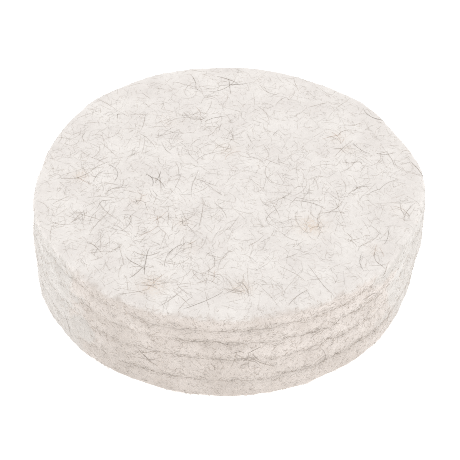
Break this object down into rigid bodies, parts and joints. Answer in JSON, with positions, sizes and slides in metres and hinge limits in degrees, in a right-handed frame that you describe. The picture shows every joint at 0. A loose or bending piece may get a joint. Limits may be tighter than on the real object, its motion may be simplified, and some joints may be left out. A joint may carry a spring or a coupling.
{
  "type": "felt polishing wheel",
  "caption": "Thick round polishing wheel laminated from pressed wool felt plies, with a soft shouldered working face and a hook-and-loop back.",
  "frame": {"origin": "centre of the loop backing's back face, where the wheel rests on its pad", "axes": "+Z along the wheel's axis, from the loop back to the working face; the wheel is round, so X and Y are free"},
  "size_m": [0.1, 0.1, 0.0278],
  "materials": {
    "face_felt": "matte",
    "rim_felt": "matte",
    "adhesive": "satin",
    "loop_fabric": "matte"
  },
  "bodies": {
    "root": {"loop_backing": "loop_fabric", "backing_adhesive": "adhesive", "base_ply": "rim_felt", "lower_ply": "rim_felt", "middle_ply": "rim_felt", "upper_ply": "rim_felt", "face_ply": "face_felt", "base_bond": "adhesive", "lower_bond": "adhesive", "upper_bond": "adhesive", "face_bond": "adhesive"}
  },
  "joints": []
}
